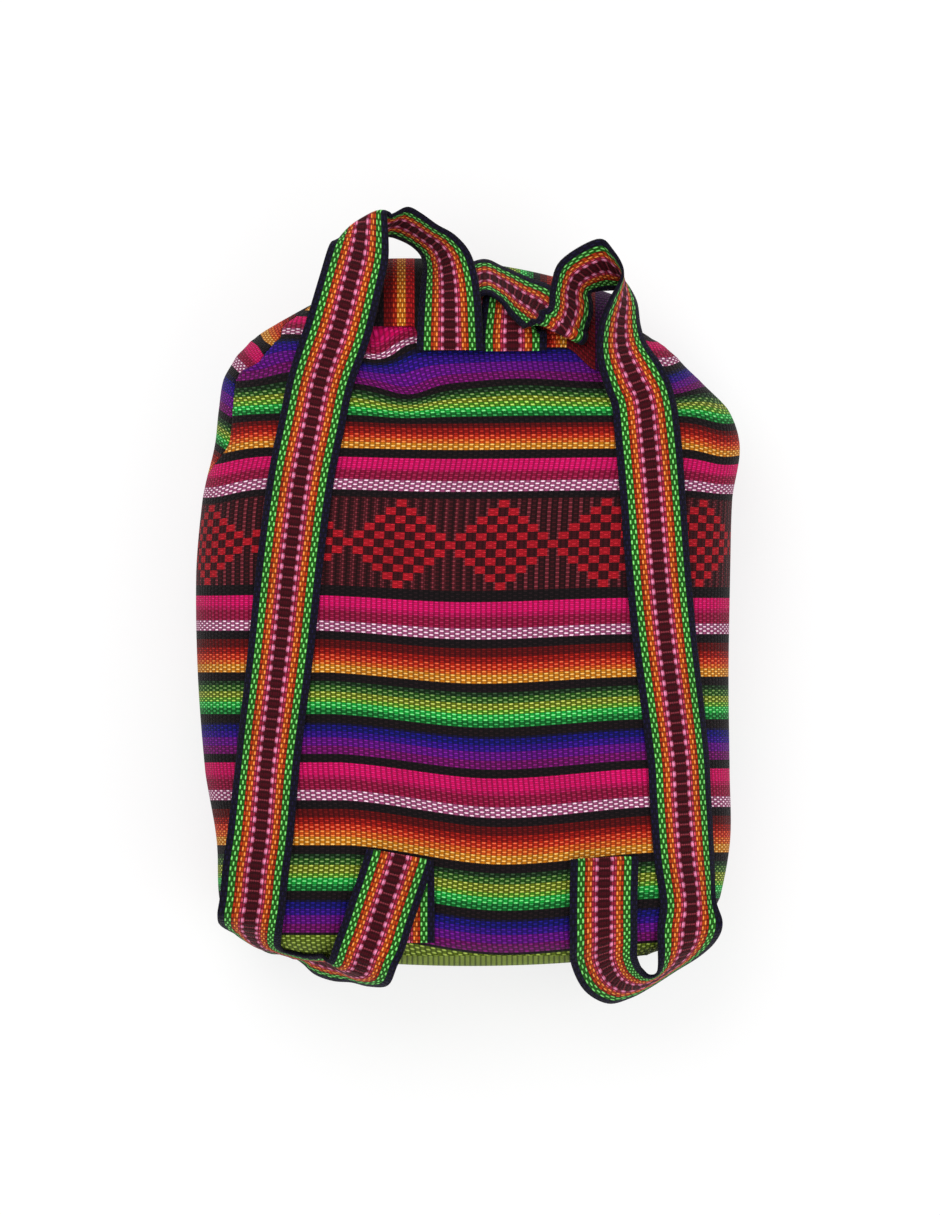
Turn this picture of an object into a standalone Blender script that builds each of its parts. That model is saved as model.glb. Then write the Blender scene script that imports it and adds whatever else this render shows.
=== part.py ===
# Striped woven cloth backpack with two woven belts for shoulder straps.
# It lies stuffed on its front, with the back panel and the straps upward.
# Frame: X across the bag, Y from the base to the mouth, Z up, metres.
# The origin is on the floor under the middle of the whole object.

import math

import bpy
import bmesh
from mathutils import Vector
from mathutils.bvhtree import BVHTree

# Driving dimensions of the bag.
BAG_WIDTH = 0.310
BACK_LENGTH = 0.3535
HEAD_LENGTH = 0.042
BAG_DEPTH = 0.1255
BASE_Y = -0.2060
CLOTH = 0.0018
SEAM_GAP = 0.0004
SIDE_GAP = 0.0006
FLOOR_SINK = 0.0035

# Driving dimensions of the base, the flap and the gathers.
BASE_BULGE = 0.0062
BASE_INSET = 0.0015
FLAP_LEFT = -0.064
FLAP_RIGHT = 0.084
FLAP_REACH = 0.0092
FLAP_CENTRE_Y = 0.118
FLAP_CENTRE_Z = 0.055
FLAP_FRONT = 0.043
FLAP_THICKNESS = 0.0016
FLAP_LIFT = 0.0006
PLEATS = 9
PLEAT_DEPTH = 0.0036

# Driving dimensions of the shoulder straps.
STRAP_WIDTH = 0.039
STRAP_THICKNESS = 0.0016
LAYER_GAP = 0.0006

# Outline of the bag from the base (0) over the back seam (1) to the mouth (2).
# Each row: place along, half width, sideways shift, half depth, squareness.
# Widths and shifts are shares of BAG_WIDTH, depths are shares of BAG_DEPTH.
OUTLINE = [
    (0.000, 0.330, 0.006, 0.330, 3.6),
    (0.018, 0.394, 0.002, 0.405, 3.4),
    (0.047, 0.441, 0.000, 0.445, 3.2),
    (0.095, 0.469, 0.004, 0.478, 3.1),
    (0.190, 0.481, 0.011, 0.503, 3.0),
    (0.300, 0.491, 0.000, 0.512, 3.0),
    (0.460, 0.497, -0.008, 0.515, 3.0),
    (0.630, 0.500, -0.008, 0.514, 3.0),
    (0.750, 0.496, 0.000, 0.503, 2.9),
    (0.835, 0.493, 0.017, 0.482, 2.8),
    (0.895, 0.478, 0.011, 0.460, 2.7),
    (0.945, 0.450, -0.007, 0.434, 2.6),
    (0.985, 0.418, -0.018, 0.405, 2.5),
    (1.100, 0.374, -0.028, 0.367, 2.5),
    (1.330, 0.326, -0.031, 0.322, 2.4),
    (1.560, 0.270, -0.028, 0.270, 2.4),
    (1.760, 0.205, -0.032, 0.207, 2.3),
    (1.910, 0.155, -0.038, 0.143, 2.2),
    (2.000, 0.122, -0.042, 0.098, 2.2),
]

# The straps' routes are drawn on a square grid laid over the bag from above.
# The grid counts GRID_ACROSS squares over the bag's width, x to the right, y down.
GRID_ACROSS = 534.0
GRID_ALONG = 609.5
GRID_MIDDLE = (467.5, 600.5)


def lie(x, y, layer, line=None):
    """A place where the belt lies on the bag, so many layers of belt up.

    With a line, in degrees from X, the belt is folded over along that line.
    """
    return {"x": x, "y": y, "layer": layer, "line": line}


def hang(x, y, height, tilt, line=None, rise=-1):
    """A place off the bag. Height is a share of BAG_DEPTH, tilt is in degrees.

    A tilt lifts the edge on the left of the belt's way. Past 90 the belt is turned over.
    After a fold, rise tells whether the belt goes on above (1) or below (-1) it.
    """
    station = {"x": x, "y": y, "height": height, "tilt": tilt, "line": line}
    station["rise"] = rise
    return station


LEFT_ROUTE = [
    [
        lie(401, 941, 1),
        lie(401, 915, 1),
        lie(401, 885, 1),
        lie(402, 857, 1, -12),
    ],
    [
        lie(393, 884, 2),
        lie(383, 912, 2),
        lie(374, 938, 2),
        hang(364, 962, 0.76, -12),
        hang(350, 977, 0.64, -48),
        hang(326, 980, 0.53, -71),
        hang(298, 972, 0.50, -79),
        hang(272, 961, 0.53, -75),
        hang(254, 947, 0.62, -54),
        hang(249, 924, 0.73, -20),
        lie(251, 897, 1),
        lie(257, 868, 1),
        lie(261, 836, 1),
        lie(268, 760, 1),
        lie(277, 651, 1),
        lie(290, 556, 1),
        lie(301, 480, 1),
        lie(312, 425, 1),
        lie(323, 371, 1),
        lie(337, 328, 1),
        hang(350, 290, 0.78, -8),
        hang(359, 252, 0.765, -6),
        hang(367, 218, 0.715, 0, 23),
    ],
    [
        hang(404, 236, 0.66, -44),
        hang(425, 249, 0.69, -46),
        hang(438, 270, 0.79, -28),
        hang(446, 296, 0.87, -8),
        hang(446, 322, 0.908, -2),
        hang(446, 350, 0.896, 0),
    ],
]

RIGHT_ROUTE = [
    [
        lie(516, 350, 2),
        lie(516, 334, 2),
        lie(516, 297, 2, -45),
    ],
    [
        lie(474, 296, 1),
        lie(450, 291, 1, 98),
    ],
    [
        lie(468, 284, 3),
        lie(488, 278, 3),
        lie(508, 284, 3),
        lie(522, 300, 3),
        lie(538, 340, 3, -20),
    ],
    [
        hang(566, 327, 0.905, 22, None, 1),
        hang(578, 308, 0.875, 48),
        hang(579, 288, 0.85, 58),
        hang(590, 270, 0.82, 56),
        hang(606, 262, 0.79, 62),
        hang(619, 264, 0.76, 80),
        hang(624, 279, 0.76, 98),
        hang(624, 300, 0.78, 110),
        hang(621, 325, 0.81, 125),
        hang(623, 350, 0.845, 143),
        hang(634, 375, 0.88, 163),
        lie(643, 395, 1),
        lie(648, 440, 1),
        lie(653, 500, 1),
        lie(657, 556, 1),
        lie(661, 603, 1),
        lie(666, 651, 1),
        lie(672, 699, 1),
        lie(679, 760, 1),
        lie(681, 797, 1),
        lie(685, 855, 1),
        lie(690, 900, 1),
        hang(691, 926, 0.79, -20),
        hang(685, 950, 0.67, -52),
        hang(664, 973, 0.53, -76),
        hang(640, 984, 0.52, -74),
        hang(617, 981, 0.61, -46),
        hang(606, 961, 0.77, -16),
        lie(603, 936, 2),
        lie(603, 900, 2),
        lie(604, 860, 2, 3),
    ],
    [
        lie(603, 885, 1),
        lie(603, 910, 1),
        lie(603, 930, 1),
    ],
]

BACK_COLUMNS = 44
FRONT_COLUMNS = 44
BASE_COLUMNS = 40
BASE_ROWS = 5
FLAP_COLUMNS = 14
FLAP_ROWS = 22
STRAP_COLUMNS = 6
STATION_STEPS = 2
SECTION_SAMPLES = 180
SETTLE_ROUNDS = 22
SETTLE_REACH = 0.010

# The panels' rows lie closer together at the base's edge and in the gathered head.
ROW_PLACES = [0.0, 0.02, 0.05, 0.10, 0.20, 0.33, 0.46, 0.59, 0.70, 0.78, 0.85, 0.90]
ROW_PLACES += [0.94, 0.97, 1.0, 1.1, 1.23, 1.36, 1.50, 1.64, 1.76, 1.85, 1.93, 2.0]
BAG_ROWS = len(ROW_PLACES) - 1


def clear_scene():
    for item in list(bpy.data.objects):
        bpy.data.objects.remove(item, do_unlink=True)


def make_collection(name):
    collection = bpy.data.collections.new(name)
    bpy.context.scene.collection.children.link(collection)
    return collection


def make_material(name, colour, roughness):
    material = bpy.data.materials.new(name)
    material.use_nodes = True
    shader = material.node_tree.nodes["Principled BSDF"]
    shader.inputs["Base Color"].default_value = (*colour, 1.0)
    shader.inputs["Roughness"].default_value = roughness
    shader.inputs["Metallic"].default_value = 0.0
    return material


def spline(before, start, end, after, share):
    """A Catmull-Rom blend between start and end."""
    square = share * share
    cube = square * share
    return 0.5 * (
        2.0 * start
        + (end - before) * share
        + (2.0 * before - 5.0 * start + 4.0 * end - after) * square
        + (3.0 * start - before - 3.0 * end + after) * cube
    )


def outline_at(along):
    """Half width, shift, half depth and squareness at a place along the bag."""
    along = min(max(along, OUTLINE[0][0]), OUTLINE[-1][0])
    last = len(OUTLINE) - 1
    row = 0
    while row < last - 1 and OUTLINE[row + 1][0] < along:
        row += 1
    here, there = OUTLINE[row], OUTLINE[row + 1]
    share = (along - here[0]) / (there[0] - here[0])
    before, after = OUTLINE[max(row - 1, 0)], OUTLINE[min(row + 2, last)]
    width, shift, depth, power = (
        spline(before[i], here[i], there[i], after[i], share) for i in range(1, 5)
    )
    return width * BAG_WIDTH, shift * BAG_WIDTH, depth * BAG_DEPTH, power


def y_of(along):
    """Places 0 to 1 run up the back, and 1 to 2 over the head to the mouth."""
    if along <= 1.0:
        return BASE_Y + along * BACK_LENGTH
    return BASE_Y + BACK_LENGTH + (along - 1.0) * HEAD_LENGTH


def along_of(y):
    climb = y - BASE_Y
    if climb <= BACK_LENGTH:
        return climb / BACK_LENGTH
    return 1.0 + (climb - BACK_LENGTH) / HEAD_LENGTH


def middle_height(along):
    """Height of the side seams: the belly rests on the floor, the ends lift off it."""
    half_depth = outline_at(along)[2]
    belly = half_depth - FLOOR_SINK
    lift = 0.5 * BAG_DEPTH - half_depth
    return belly + 0.86 * max(lift, 0.0)


def smooth_step(low, high, value):
    share = min(max((value - low) / (high - low), 0.0), 1.0)
    return share * share * (3.0 - 2.0 * share)


def floor_under(y):
    """The front panel lies on the floor, and on the flap near the mouth."""
    flap_top = FLAP_THICKNESS + SEAM_GAP
    return flap_top * smooth_step(FLAP_FRONT - 0.035, FLAP_FRONT - 0.008, y)


def back_height(x, y):
    """Height of the back panel's outer side over a point of the floor plan."""
    half_width, shift, half_depth, power = outline_at(along_of(y))
    across = min(abs(x - shift) / half_width, 0.965)
    crown = (1.0 - across**power) ** (1.0 / power)
    return middle_height(along_of(y)) + half_depth * crown


def flap_end(x):
    """How far the flap's rounded end reaches over the mouth, at this x."""
    reach = BASE_Y + BACK_LENGTH + HEAD_LENGTH + FLAP_REACH
    return reach - 0.0195 * ((x + 0.035) / 0.115) ** 2


def flap_top_height(x, y):
    """Height of the flap's upper side over the back."""
    seam_y = BASE_Y + BACK_LENGTH
    length = flap_end(x) - FLAP_CENTRE_Y
    rest = back_height(x, seam_y) + FLAP_LIFT + FLAP_THICKNESS
    seam_share = math.sqrt(1.0 - ((seam_y - FLAP_CENTRE_Y) / length) ** 2)
    height = (rest - FLAP_CENTRE_Z) / seam_share
    share = min((y - FLAP_CENTRE_Y) / length, 0.999)
    return FLAP_CENTRE_Z + height * math.sqrt(max(1.0 - share * share, 0.0))


def rest_height(x, y):
    """The surface that a strap lies on: the back panel, and the flap past the seam."""
    seam_y = BASE_Y + BACK_LENGTH
    y = max(y, BASE_Y)
    ground = back_height(x, min(y, BASE_Y + BACK_LENGTH + 0.8 * HEAD_LENGTH))
    if y <= seam_y or x < FLAP_LEFT - 0.012 or x > FLAP_RIGHT + 0.012:
        return ground
    return max(ground, flap_top_height(min(max(x, FLAP_LEFT), FLAP_RIGHT), y))


def section_points(along, side):
    """Points round one half of a cross-section, from the left seam to the right one."""
    half_width, shift, half_depth, power = outline_at(along)
    middle = middle_height(along)
    y = y_of(along)
    points = []
    for step in range(SECTION_SAMPLES + 1):
        angle = math.pi * step / SECTION_SAMPLES
        cosine, sine = math.cos(angle), math.sin(angle)
        x = shift - half_width * math.copysign(abs(cosine) ** (2.0 / power), cosine)
        z = middle + side * half_depth * abs(sine) ** (2.0 / power)
        points.append(Vector((x, y, max(z, floor_under(y)))))
    return points


def along_points(points, share, margin):
    """The point at a share of a line's length, keeping a margin off both ends."""
    lengths = [0.0]
    for first, second in zip(points, points[1:]):
        lengths.append(lengths[-1] + (second - first).length)
    target = margin + share * (lengths[-1] - 2.0 * margin)
    for index in range(len(points) - 1):
        if lengths[index + 1] >= target:
            break
    span = lengths[index + 1] - lengths[index]
    blend = (target - lengths[index]) / span if span > 0.0 else 0.0
    return points[index].lerp(points[index + 1], blend)


def make_sheet(name, columns, rows, place, thickness, offset, flip=False):
    """A grid bent by place(u, v), closed where its edges meet, then given its wall."""
    mesh = bpy.data.meshes.new(name)
    cloth = bmesh.new()
    bmesh.ops.create_grid(cloth, x_segments=columns, y_segments=rows, size=0.5)
    for vertex in cloth.verts:
        vertex.co = place(vertex.co.x + 0.5, vertex.co.y + 0.5)
    bmesh.ops.remove_doubles(cloth, verts=cloth.verts, dist=0.000001)
    if flip:
        bmesh.ops.reverse_faces(cloth, faces=cloth.faces)
    cloth.to_mesh(mesh)
    cloth.free()
    mesh.shade_smooth()
    sheet = bpy.data.objects.new(name, mesh)
    wall = sheet.modifiers.new("wall", "SOLIDIFY")
    wall.thickness = thickness
    wall.offset = offset
    wall.use_even_offset = True
    return sheet


def row_place(share):
    """Place along the bag of a row of the panels' grid."""
    spot = share * (len(ROW_PLACES) - 1)
    index = min(int(spot), len(ROW_PLACES) - 2)
    return ROW_PLACES[index] + (spot - index) * (ROW_PLACES[index + 1] - ROW_PLACES[index])


def panel_place(side):
    def place(u, v):
        along = row_place(v)
        points = section_points(along, side)
        point = along_points(points, u, 0.5 * SIDE_GAP)
        gather = PLEAT_DEPTH * smooth_step(0.90, 1.95, along)
        fold = 0.5 - 0.5 * math.cos(2.0 * math.pi * PLEATS * u)
        fold *= smooth_step(0.01, 0.11, u) * smooth_step(0.01, 0.11, 1.0 - u)
        centre = Vector((outline_at(along)[1], point.y, middle_height(along)))
        inward = (centre - point).normalized()
        return point + inward * gather * fold

    return place


def make_back_panel():
    place = panel_place(1.0)
    return make_sheet("back_panel", BACK_COLUMNS, BAG_ROWS, place, CLOTH, -1.0)


def make_front_panel():
    place = panel_place(-1.0)
    return make_sheet("front_panel", FRONT_COLUMNS, BAG_ROWS, place, CLOTH, -1.0, True)


def make_base_panel():
    """A shallow dome that closes the lower end, inside the body's edge."""
    half_width, shift, half_depth, power = outline_at(0.0)
    middle = middle_height(0.0)

    def place(u, v):
        angle = 2.0 * math.pi * u
        cosine, sine = math.cos(angle), math.sin(angle)
        across = math.copysign(abs(cosine) ** (2.0 / power), cosine)
        upward = math.copysign(abs(sine) ** (2.0 / power), sine)
        x = shift + v * (half_width - BASE_INSET) * across
        z = middle + v * (half_depth - BASE_INSET) * upward
        return Vector((x, BASE_Y - BASE_BULGE * (1.0 - v * v), z))

    return make_sheet("base_panel", BASE_COLUMNS, BASE_ROWS, place, CLOTH, -1.0, True)


def make_flap():
    """A sheet sewn at the back seam, over the mouth and down onto the front."""
    seam_y = BASE_Y + BACK_LENGTH
    arc_share = 0.66

    def place(u, v):
        x = FLAP_LEFT + u * (FLAP_RIGHT - FLAP_LEFT)
        length = flap_end(x) - FLAP_CENTRE_Y
        if v > arc_share:
            y = FLAP_CENTRE_Y + (FLAP_FRONT - FLAP_CENTRE_Y) * (v - arc_share) / (1.0 - arc_share)
            return Vector((x, y, 0.0))
        start = math.asin((seam_y - FLAP_CENTRE_Y) / length)
        angle = start + (math.pi - start) * v / arc_share
        y = FLAP_CENTRE_Y + length * math.sin(angle)
        if angle < 0.5 * math.pi:
            crown = flap_top_height(x, FLAP_CENTRE_Y) - FLAP_CENTRE_Z
            return Vector((x, y, FLAP_CENTRE_Z + crown * math.cos(angle)))
        return Vector((x, y, FLAP_CENTRE_Z + FLAP_CENTRE_Z * math.cos(angle)))

    return make_sheet("flap", FLAP_COLUMNS, FLAP_ROWS, place, FLAP_THICKNESS, -1.0)


def grid_point(grid_x, grid_y):
    x = (grid_x - GRID_MIDDLE[0]) * BAG_WIDTH / GRID_ACROSS
    y = (GRID_MIDDLE[1] - grid_y) * BACK_LENGTH / GRID_ALONG
    return x, y


def layer_lift(layer):
    """Height of a belt's middle above the bag, for a layer of belts."""
    return SEAM_GAP + 0.5 * STRAP_THICKNESS + (layer - 1.0) * (STRAP_THICKNESS + LAYER_GAP)


def drape(x, y, direction, distance, lift):
    """The point a distance off along the bag's surface, raised off it by lift."""
    height = rest_height(x, y)
    steps = 6
    stride = abs(distance) / steps
    way = math.copysign(1.0, distance)
    for _ in range(steps if stride > 0.0 else 0):
        ahead_x = x + way * direction.x * stride
        ahead_y = y + way * direction.y * stride
        slope = (rest_height(ahead_x, ahead_y) - height) / stride
        slope = min(max(slope, -2.2), 2.2)
        reach = stride / math.sqrt(1.0 + slope * slope)
        x += way * direction.x * reach
        y += way * direction.y * reach
        height += slope * reach
    step = 0.003
    lean_x = (rest_height(x + step, y) - rest_height(x - step, y)) / (2.0 * step)
    lean_y = (rest_height(x, y + step) - rest_height(x, y - step)) / (2.0 * step)
    lean_x = min(max(lean_x, -2.2), 2.2)
    lean_y = min(max(lean_y, -2.2), 2.2)
    normal = Vector((-lean_x, -lean_y, 1.0)).normalized()
    return Vector((x, y, height)) + normal * lift


def cross_row(station, heading, flipped):
    """The points across the belt at one station, and their clearance off the bag."""
    x, y = grid_point(station["x"], station["y"])
    side = Vector((-heading.y, heading.x)).normalized()
    length = STRAP_WIDTH
    if station["line"] is not None:
        angle = math.radians(station["line"])
        line = Vector((math.cos(angle), math.sin(angle)))
        if line.dot(side) < 0.0:
            line = -line
        length = STRAP_WIDTH / max(line.dot(side), 0.4)
        side = line
    way = -1.0 if flipped else 1.0
    lift = layer_lift(station.get("layer", 1.2))
    row = []
    for column in range(STRAP_COLUMNS + 1):
        distance = way * length * (column / STRAP_COLUMNS - 0.5)
        if "layer" in station:
            point = drape(x, y, side, distance, lift)
        else:
            tilt = math.radians(station["tilt"])
            spread = distance * math.cos(tilt)
            height = station["height"] * BAG_DEPTH + distance * math.sin(tilt)
            point = Vector((x + side.x * spread, y + side.y * spread, height))
        row.append(Vector((*point, lift)))
    return row


def leg_rows(leg, fold_in, flipped):
    """Rows of one run of belt, and whether it ends turned over.

    fold_in is the row that the run starts at.
    """
    centres = [Vector(grid_point(station["x"], station["y"])) for station in leg]
    rows = []
    if fold_in is not None:
        start = fold_in[STRAP_COLUMNS // 2]
        centres = [Vector((start.x, start.y))] + centres
        rows = [fold_in]
    skip = len(rows)
    twisting = False
    for index, station in enumerate(leg):
        before = centres[max(index + skip - 1, 0)]
        after = centres[min(index + skip + 1, len(centres) - 1)]
        if station["line"] is not None:
            after = centres[index + skip]
        over = station.get("tilt", 0) > 90
        if twisting and not over:
            flipped = not flipped
        twisting = over
        rows.append(cross_row(station, after - before, flipped))
    return rows, flipped


def between_rows(rows):
    """The rows with smooth ones added between them."""
    smooth = []
    last = len(rows) - 1
    for index in range(last):
        before = rows[max(index - 1, 0)]
        after = rows[min(index + 2, last)]
        for step in range(STATION_STEPS):
            share = step / STATION_STEPS
            tracks = zip(before, rows[index], rows[index + 1], after)
            smooth.append([spline(a, b, c, d, share) for a, b, c, d in tracks])
    smooth.append(rows[-1])
    return smooth


def fold_rows(row, heading, rise):
    """A turned-over edge: half a circle from this row to the layer above or below."""
    line = (row[-1] - row[0]).to_3d()
    normal = line.cross(heading.to_3d()).normalized()
    if normal.z < 0.0:
        normal = -normal
    outward = normal.cross(line).normalized()
    if outward.dot(heading.to_3d()) < 0.0:
        outward = -outward
    bent = []
    for angle in (45.0, 90.0, 135.0, 180.0):
        turn = math.radians(angle)
        climb = 0.5 * rise * (1.0 - math.cos(turn))
        shift = outward * (0.5 * abs(rise) * math.sin(turn)) + normal * climb
        bent.append([point + Vector((*shift, climb)) for point in row])
    return bent


def strap_rows(route):
    """All rows of a belt, leg by leg, with a fold between two legs."""
    rows = []
    fold_in = None
    flipped = False
    for index, leg in enumerate(route):
        stations, flipped = leg_rows(leg, fold_in, flipped)
        smooth = between_rows(stations)
        rows += smooth if fold_in is None else smooth[1:]
        if index == len(route) - 1:
            break
        middle = STRAP_COLUMNS // 2
        heading = stations[-1][middle] - stations[-2][middle]
        here, there = leg[-1], route[index + 1][0]
        layers = there.get("layer", 0) - here.get("layer", 1)
        if "height" in there:
            layers = there["rise"]
        rise = layers * (STRAP_THICKNESS + LAYER_GAP)
        bent = fold_rows(stations[-1], heading, rise)
        rows += bent
        fold_in = bent[-1]
        flipped = not flipped
    return rows


def surface_tree(sheets):
    """The outer sides of the bag's sheets, as one tree for nearest points."""
    points = []
    faces = []
    for sheet in sheets:
        first = len(points)
        points += [vertex.co.copy() for vertex in sheet.data.vertices]
        for face in sheet.data.polygons:
            faces.append([first + corner for corner in face.vertices])
    return BVHTree.FromPolygons(points, faces)


def settle(rows, tree):
    """Moves a belt's points off the bag until each small face clears it."""
    columns = STRAP_COLUMNS + 1
    cells = [(r, c) for r in range(len(rows) - 1) for c in range(STRAP_COLUMNS)]
    probes = [(a / 3.0, b / 3.0) for a in range(4) for b in range(4)]
    for _ in range(SETTLE_ROUNDS):
        moves = [[Vector((0.0, 0.0, 0.0)) for _ in range(columns)] for _ in rows]
        for r, c in cells:
            corners = [(r, c), (r + 1, c), (r, c + 1), (r + 1, c + 1)]
            points = [rows[i][j] for i, j in corners]
            for up, across in probes:
                low = points[0].lerp(points[1], up)
                probe = low.lerp(points[2].lerp(points[3], up), across)
                point = probe.to_3d()
                location, normal, _, distance = tree.find_nearest(point)
                if distance > SETTLE_REACH:
                    continue
                if (point - location).dot(normal) < 0.0:
                    distance = -distance
                lack = probe.w - distance
                if lack <= 0.0:
                    continue
                for i, j in corners:
                    if lack > moves[i][j].length:
                        moves[i][j] = normal * lack
        for row, shifts in zip(rows, moves):
            for column in range(columns):
                row[column] = row[column] + Vector((*(0.7 * shifts[column]), 0.0))
    return [[point.to_3d() for point in row] for row in rows]


def make_strap(name, route, tree):
    rows = settle(strap_rows(route), tree)
    last = len(rows) - 1

    def place(u, v):
        return rows[round(v * last)][round(u * STRAP_COLUMNS)]

    belt = make_sheet(name, STRAP_COLUMNS, last, place, STRAP_THICKNESS, 0.0)
    belt.modifiers["wall"].use_even_offset = False
    return belt


def main():
    clear_scene()
    bag = make_collection("striped_backpack")
    striped = make_material("striped_cloth", (0.45, 0.03, 0.10), 0.85)
    side_cloth = make_material("striped_cloth_front", (0.30, 0.02, 0.22), 0.85)
    base_cloth = make_material("base_cloth", (0.33, 0.38, 0.05), 0.85)
    flap_cloth = make_material("flap_cloth", (0.42, 0.08, 0.02), 0.85)
    belt = make_material("woven_belt", (0.28, 0.02, 0.04), 0.8)
    belt_right = make_material("woven_belt_right", (0.30, 0.05, 0.04), 0.8)
    back_panel = make_back_panel()
    base_panel = make_base_panel()
    flap = make_flap()
    front_panel = make_front_panel()
    tree = surface_tree([back_panel, front_panel, base_panel, flap])
    pieces = [
        (back_panel, striped),
        (front_panel, side_cloth),
        (base_panel, base_cloth),
        (flap, flap_cloth),
        (make_strap("strap_left", LEFT_ROUTE, tree), belt),
        (make_strap("strap_right", RIGHT_ROUTE, tree), belt_right),
    ]
    for piece, material in pieces:
        piece.data.materials.append(material)
        bag.objects.link(piece)


main()
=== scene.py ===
import math

import bmesh
import bpy
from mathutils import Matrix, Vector, noise
from mathutils.bvhtree import BVHTree


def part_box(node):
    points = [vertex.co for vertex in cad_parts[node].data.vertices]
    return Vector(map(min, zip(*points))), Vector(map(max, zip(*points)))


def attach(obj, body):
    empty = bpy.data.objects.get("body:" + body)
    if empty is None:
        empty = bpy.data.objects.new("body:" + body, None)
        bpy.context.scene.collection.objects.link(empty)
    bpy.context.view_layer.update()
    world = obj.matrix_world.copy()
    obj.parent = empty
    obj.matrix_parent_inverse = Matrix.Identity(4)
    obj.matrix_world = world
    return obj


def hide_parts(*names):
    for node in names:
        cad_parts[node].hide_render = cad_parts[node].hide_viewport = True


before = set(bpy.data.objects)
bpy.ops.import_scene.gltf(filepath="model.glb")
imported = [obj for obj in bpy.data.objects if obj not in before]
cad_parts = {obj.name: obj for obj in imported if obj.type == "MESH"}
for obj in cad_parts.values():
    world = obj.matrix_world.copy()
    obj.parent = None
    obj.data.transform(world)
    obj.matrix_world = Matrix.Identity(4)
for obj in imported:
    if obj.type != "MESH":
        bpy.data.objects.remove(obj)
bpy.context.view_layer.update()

# Striped woven backpack, lying on its front, seen straight from above, in metres.
# A drawing grid lies over the bag, in squares: x to the right and y down, as drawn.

panelLow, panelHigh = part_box("back_panel")
flapLow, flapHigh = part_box("flap")

grid = {
    "frameWidth": 940,  # squares across the whole picture
    "frameHeight": 1215,
    "square": 0.58052e-3,  # metres in one square
    "originX": 467.5,
    "originY": 600.5,
}


def gridPoint(x, y):
    return (x - grid["originX"]) * grid["square"], (grid["originY"] - y) * grid["square"]


def smoothStep(low, high, value):
    share = min(max((value - low) / (high - low), 0.0), 1.0)
    return share * share * (3.0 - 2.0 * share)


def bump(x, y, centreX, centreY, wideX, wideY):
    return math.exp(-(((x - centreX) / wideX) ** 2) - ((y - centreY) / wideY) ** 2)


# Stage 1: the bag's form

bag = {
    "width": 0.310,
    "depth": 0.1255,
    "baseY": panelLow.y,
    "headShare": 0.1062,  # the gathered head's part of the length, up to the mouth
    "cloth": 0.0018,
    "sideGap": 0.0006,
    "floorSink": 0.0035,
    "middleLift": 0.86,  # the underside rises by this share of the half depth that is lost
    "edgeLimit": 0.965,  # heights are read no nearer to the outline than this share
    "restLimit": 0.8,  # and no further into the head than this share of it
    "pleats": 9,
    "pleatDepth": 0.0036,
    "pleatsFrom": 0.90,
    "pleatsFull": 1.95,
    "frontDrop": 0.0145,  # how much lower the front's stripes lie
    "frontLean": 0.62,  # and how steeply they run where the front shows at the shoulder
    "flatWidth": 0.40,
    "columns": 190,
    "rows": 220,
    "sectionSteps": 240,
}
bag["length"] = panelHigh.y - panelLow.y
bag["back"] = bag["length"] * (1.0 - bag["headShare"])
bag["head"] = bag["length"] * bag["headShare"]
bag["seamY"] = bag["baseY"] + bag["back"]

# Place along the bag (0 base, 1 back seam, 2 mouth), then shares of width and depth:
# half width, shift to the side, half depth, and how square the section is.
bagOutline = [
    (0.000, 0.330, 0.006, 0.330, 3.6),
    (0.018, 0.394, 0.002, 0.405, 3.4),
    (0.047, 0.441, 0.000, 0.445, 3.2),
    (0.095, 0.469, 0.004, 0.478, 3.1),
    (0.190, 0.481, 0.011, 0.503, 3.0),
    (0.300, 0.491, 0.000, 0.512, 3.0),
    (0.460, 0.497, -0.008, 0.515, 3.0),
    (0.630, 0.500, -0.008, 0.514, 3.0),
    (0.750, 0.496, 0.000, 0.503, 2.9),
    (0.835, 0.493, 0.017, 0.482, 2.8),
    (0.895, 0.478, 0.011, 0.460, 2.7),
    (0.945, 0.446, -0.012, 0.434, 2.6),
    (0.985, 0.412, -0.022, 0.405, 2.5),
    (1.000, 0.393, -0.024, 0.398, 2.5),
    (1.100, 0.374, -0.028, 0.367, 2.5),
    (1.330, 0.326, -0.031, 0.322, 2.4),
    (1.560, 0.270, -0.028, 0.270, 2.4),
    (1.760, 0.205, -0.032, 0.207, 2.3),
    (1.910, 0.155, -0.038, 0.143, 2.2),
    (2.000, 0.122, -0.042, 0.098, 2.2),
]


def spline(before, start, end, after, share):
    square = share * share
    cube = square * share
    return 0.5 * (
        2.0 * start
        + (end - before) * share
        + (2.0 * before - 5.0 * start + 4.0 * end - after) * square
        + (3.0 * start - before - 3.0 * end + after) * cube
    )


def outlineAt(along):
    along = min(max(along, 0.0), 2.0)
    last = len(bagOutline) - 1
    row = 0
    while row < last - 1 and bagOutline[row + 1][0] < along:
        row += 1
    here, there = bagOutline[row], bagOutline[row + 1]
    share = (along - here[0]) / (there[0] - here[0])
    before, after = bagOutline[max(row - 1, 0)], bagOutline[min(row + 2, last)]
    width, shift, depth, power = (
        spline(before[i], here[i], there[i], after[i], share) for i in range(1, 5)
    )
    return width * bag["width"], shift * bag["width"], depth * bag["depth"], power


def yOf(along):
    if along <= 1.0:
        return bag["baseY"] + along * bag["back"]
    return bag["seamY"] + (along - 1.0) * bag["head"]


def alongOf(y):
    climb = y - bag["baseY"]
    if climb <= bag["back"]:
        return climb / bag["back"]
    return 1.0 + (climb - bag["back"]) / bag["head"]


def middleHeight(along):
    halfDepth = outlineAt(along)[2]
    lift = 0.5 * bag["depth"] - halfDepth
    return halfDepth - bag["floorSink"] + bag["middleLift"] * max(lift, 0.0)


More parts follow.
